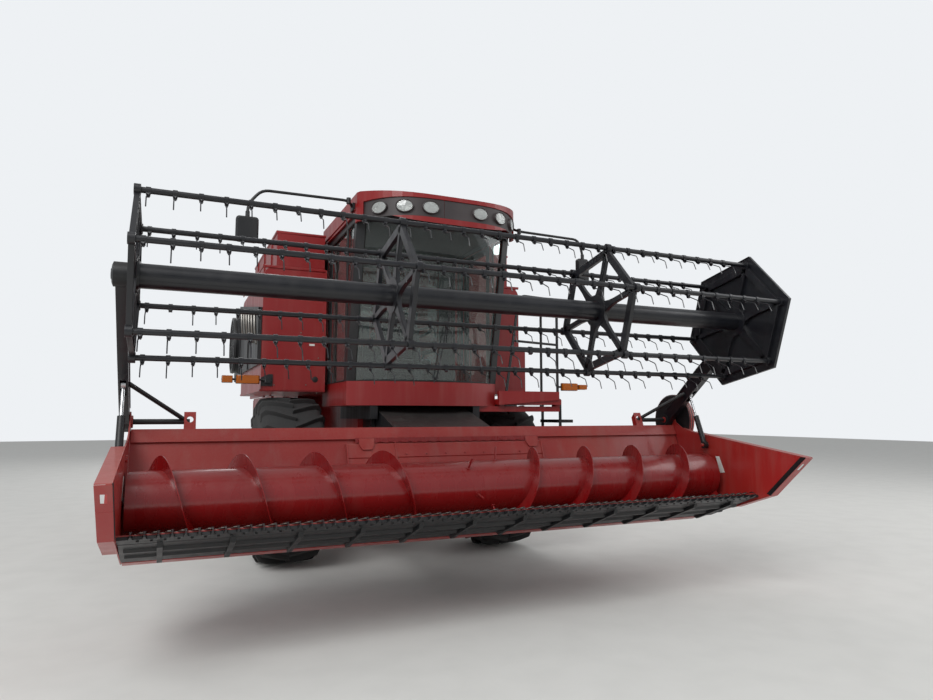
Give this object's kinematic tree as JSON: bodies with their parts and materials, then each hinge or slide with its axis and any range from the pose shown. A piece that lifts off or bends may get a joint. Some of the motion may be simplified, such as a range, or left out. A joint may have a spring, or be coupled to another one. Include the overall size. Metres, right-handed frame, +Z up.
{
  "type": "combine harvester",
  "caption": "Self-propelled combine harvester with a raised rigid grain header, bat reel, cab, open grain tank, folded unloading tube and steered rear axle.",
  "frame": {"origin": "centre of the bounding box on the ground", "axes": "+Z up, the header points to -Y, the driver's left is +X"},
  "size_m": [5.72, 9.1543, 3.87],
  "materials": {
    "machine_red": "semi-gloss",
    "header_red": "worn semi-gloss",
    "auger_red": "gloss",
    "rim_red": "satin",
    "chassis_black": "satin",
    "reel_black": "satin",
    "axle_grey": "satin",
    "engine_grey": "cast",
    "cab_glass": "tinted",
    "lamp_lens": "clear",
    "amber_lens": "gloss",
    "seat_fabric": "woven",
    "cab_plastic": "moulded",
    "tank_plastic": "moulded",
    "rod_steel": "polished",
    "knife_steel": "worn",
    "tyre_rubber": "dusty"
  },
  "bodies": {
    "chassis": {"frame": "chassis_black", "front_axle": "axle_grey", "separator_body": "machine_red", "elevators": "machine_red", "grain_tank": "machine_red", "tank_extension": "machine_red", "cab_shell": "machine_red", "cab_glass": "cab_glass", "cab_roof": "machine_red", "roof_lamps": "lamp_lens", "seat": "seat_fabric", "cab_controls": "cab_plastic", "platform": "machine_red", "ladder_and_rails": "chassis_black", "mirror_and_lamp_arms": "chassis_black", "amber_lamps": "amber_lens", "engine": "engine_grey", "engine_deck": "machine_red", "air_screen": "chassis_black", "fuel_tank": "tank_plastic", "rear_hood": "machine_red", "unload_elbow": "machine_red", "rear_axle": "axle_grey"},
    "header": {"feeder_house": "chassis_black", "header_trough": "header_red", "header_ends": "header_red", "cutterbar": "chassis_black", "header_drive": "header_red"},
    "lift_barrels": {"lift_barrels": "chassis_black"},
    "lift_rods": {"lift_rods": "rod_steel"},
    "reel_arms": {"reel_arms": "reel_black"},
    "reel_barrels": {"reel_barrels": "chassis_black"},
    "reel_rods": {"reel_rods": "rod_steel"},
    "reel": {"reel_rotor": "reel_black"},
    "table_auger": {"auger_tube": "auger_red", "auger_flights": "auger_red"},
    "knife": {"knife": "knife_steel"},
    "front_wheel_left": {"tyre_front_left": "tyre_rubber", "rim_front_left": "rim_red"},
    "front_wheel_right": {"tyre_front_right": "tyre_rubber", "rim_front_right": "rim_red"},
    "knuckle_left": {"knuckle_left": "axle_grey"},
    "knuckle_right": {"knuckle_right": "axle_grey"},
    "rear_wheel_left": {"tyre_rear_left": "tyre_rubber", "rim_rear_left": "rim_red"},
    "rear_wheel_right": {"tyre_rear_right": "tyre_rubber", "rim_rear_right": "rim_red"},
    "cab_door": {"cab_door": "machine_red", "door_glass": "cab_glass"},
    "side_shield_left": {"side_shield_left": "machine_red"},
    "side_shield_right": {"side_shield_right": "machine_red"},
    "unload_tube": {"unload_tube": "machine_red"},
    "spreader_left": {"spreader_disc_left": "axle_grey"},
    "spreader_right": {"spreader_disc_right": "axle_grey"},
    "tine_bar_1": {"tine_bar_1": "reel_black"},
    "tine_bar_2": {"tine_bar_2": "reel_black"},
    "tine_bar_3": {"tine_bar_3": "reel_black"},
    "tine_bar_4": {"tine_bar_4": "reel_black"},
    "tine_bar_5": {"tine_bar_5": "reel_black"},
    "tine_bar_6": {"tine_bar_6": "reel_black"}
  },
  "joints": [
    {"name": "feeder_lift", "type": "hinge", "parent": "chassis", "child": "header", "pos_m": [0, -1.68, 1.45], "axis": [1, 0, 0], "range_deg": [-4, 21]},
    {"name": "lift_barrel_pivot", "type": "hinge", "parent": "chassis", "child": "lift_barrels", "pos_m": [0, -1.04, 0.7], "axis": [1, 0, 0], "range_deg": [-3.82, 15.8]},
    {"name": "lift_rod_slide", "type": "slide", "parent": "lift_barrels", "child": "lift_rods", "axis": [0, -0.9995, -0.0314], "range_m": [-0.31758, 0.06859]},
    {"name": "reel_lift", "type": "hinge", "parent": "header", "child": "reel_arms", "pos_m": [0, -2.84991, 1.54989], "axis": [1, 0, 0], "range_deg": [0, 26]},
    {"name": "reel_barrel_pivot", "type": "hinge", "parent": "header", "child": "reel_barrels", "pos_m": [0, -3.39173, 1.30479], "axis": [1, 0, 0], "range_deg": [-1, 3.36]},
    {"name": "reel_rod_slide", "type": "slide", "parent": "reel_barrels", "child": "reel_rods", "axis": [0, 0.3443, 0.9389], "range_m": [-0.20394, 0.005]},
    {"name": "reel_spin", "type": "hinge", "parent": "reel_arms", "child": "reel", "pos_m": [0, -3.95015, 2.46333], "axis": [1, 0, 0], "continuous": true},
    {"name": "tine_bar_1_turn", "type": "hinge", "parent": "reel", "child": "tine_bar_1", "pos_m": [0, -4.11238, 2.96263], "axis": [1, 0, 0], "continuous": true},
    {"name": "tine_bar_2_turn", "type": "hinge", "parent": "reel", "child": "tine_bar_2", "pos_m": [0, -3.59885, 2.85348], "axis": [1, 0, 0], "continuous": true},
    {"name": "tine_bar_3_turn", "type": "hinge", "parent": "reel", "child": "tine_bar_3", "pos_m": [0, -3.43662, 2.35418], "axis": [1, 0, 0], "continuous": true},
    {"name": "tine_bar_4_turn", "type": "hinge", "parent": "reel", "child": "tine_bar_4", "pos_m": [0, -3.78791, 1.96402], "axis": [1, 0, 0], "continuous": true},
    {"name": "tine_bar_5_turn", "type": "hinge", "parent": "reel", "child": "tine_bar_5", "pos_m": [0, -4.30144, 2.07318], "axis": [1, 0, 0], "continuous": true},
    {"name": "tine_bar_6_turn", "type": "hinge", "parent": "reel", "child": "tine_bar_6", "pos_m": [0, -4.46368, 2.57248], "axis": [1, 0, 0], "continuous": true},
    {"name": "auger_spin", "type": "hinge", "parent": "header", "child": "table_auger", "pos_m": [0, -3.42672, 1.0183], "axis": [1, 0, 0], "continuous": true},
    {"name": "knife_stroke", "type": "slide", "parent": "header", "child": "knife", "axis": [1, 0, 0], "range_m": [-0.0381, 0.0381]},
    {"name": "front_wheel_left_spin", "type": "hinge", "parent": "chassis", "child": "front_wheel_left", "pos_m": [1.29, -0.85, 0.9], "axis": [1, 0, 0], "continuous": true},
    {"name": "front_wheel_right_spin", "type": "hinge", "parent": "chassis", "child": "front_wheel_right", "pos_m": [-1.29, -0.85, 0.9], "axis": [1, 0, 0], "continuous": true},
    {"name": "steer_left", "type": "hinge", "parent": "chassis", "child": "knuckle_left", "pos_m": [1, 2.75, 0.63], "axis": [0, 0, 1], "range_deg": [-30, 30]},
    {"name": "rear_wheel_left_spin", "type": "hinge", "parent": "knuckle_left", "child": "rear_wheel_left", "pos_m": [1.25, 2.75, 0.63], "axis": [1, 0, 0], "continuous": true},
    {"name": "steer_right", "type": "hinge", "parent": "chassis", "child": "knuckle_right", "pos_m": [-1, 2.75, 0.63], "axis": [0, 0, 1], "range_deg": [-30, 30]},
    {"name": "rear_wheel_right_spin", "type": "hinge", "parent": "knuckle_right", "child": "rear_wheel_right", "pos_m": [-1.25, 2.75, 0.63], "axis": [1, 0, 0], "continuous": true},
    {"name": "cab_door_swing", "type": "hinge", "parent": "chassis", "child": "cab_door", "pos_m": [0.87, -1.707, 2.66], "axis": [0, 0, 1], "range_deg": [-80, 0]},
    {"name": "side_shield_left_lift", "type": "hinge", "parent": "chassis", "child": "side_shield_left", "pos_m": [1.315, 0.6, 1.8447], "axis": [0, 1, 0], "range_deg": [-75, 0]},
    {"name": "side_shield_right_lift", "type": "hinge", "parent": "chassis", "child": "side_shield_right", "pos_m": [-1.315, 0.6, 1.8447], "axis": [0, 1, 0], "range_deg": [0, 75]},
    {"name": "unload_swing", "type": "hinge", "parent": "chassis", "child": "unload_tube", "pos_m": [1.755, 0.475, 3.08], "axis": [0, 0, 1], "range_deg": [-105, 0]},
    {"name": "spreader_left_spin", "type": "hinge", "parent": "chassis", "child": "spreader_left", "pos_m": [0.34, 4.1, 1.12], "axis": [0, 0, 1], "continuous": true},
    {"name": "spreader_right_spin", "type": "hinge", "parent": "chassis", "child": "spreader_right", "pos_m": [-0.34, 4.1, 1.12], "axis": [0, 0, 1], "continuous": true}
  ],
  "couplings": [
    {"joint": "lift_barrel_pivot", "follows": "feeder_lift", "ratio": 0.70484},
    {"joint": "lift_rod_slide", "follows": "feeder_lift", "m_per_rad": -0.8392},
    {"joint": "reel_barrel_pivot", "follows": "reel_lift", "ratio": 0.09075},
    {"joint": "reel_rod_slide", "follows": "reel_lift", "m_per_rad": -0.4384},
    {"joint": "tine_bar_1_turn", "follows": "reel_spin", "ratio": -1},
    {"joint": "tine_bar_2_turn", "follows": "reel_spin", "ratio": -1},
    {"joint": "tine_bar_3_turn", "follows": "reel_spin", "ratio": -1},
    {"joint": "tine_bar_4_turn", "follows": "reel_spin", "ratio": -1},
    {"joint": "tine_bar_5_turn", "follows": "reel_spin", "ratio": -1},
    {"joint": "tine_bar_6_turn", "follows": "reel_spin", "ratio": -1},
    {"joint": "steer_right", "follows": "steer_left", "ratio": 1},
    {"joint": "spreader_right_spin", "follows": "spreader_left_spin", "ratio": -1}
  ]
}
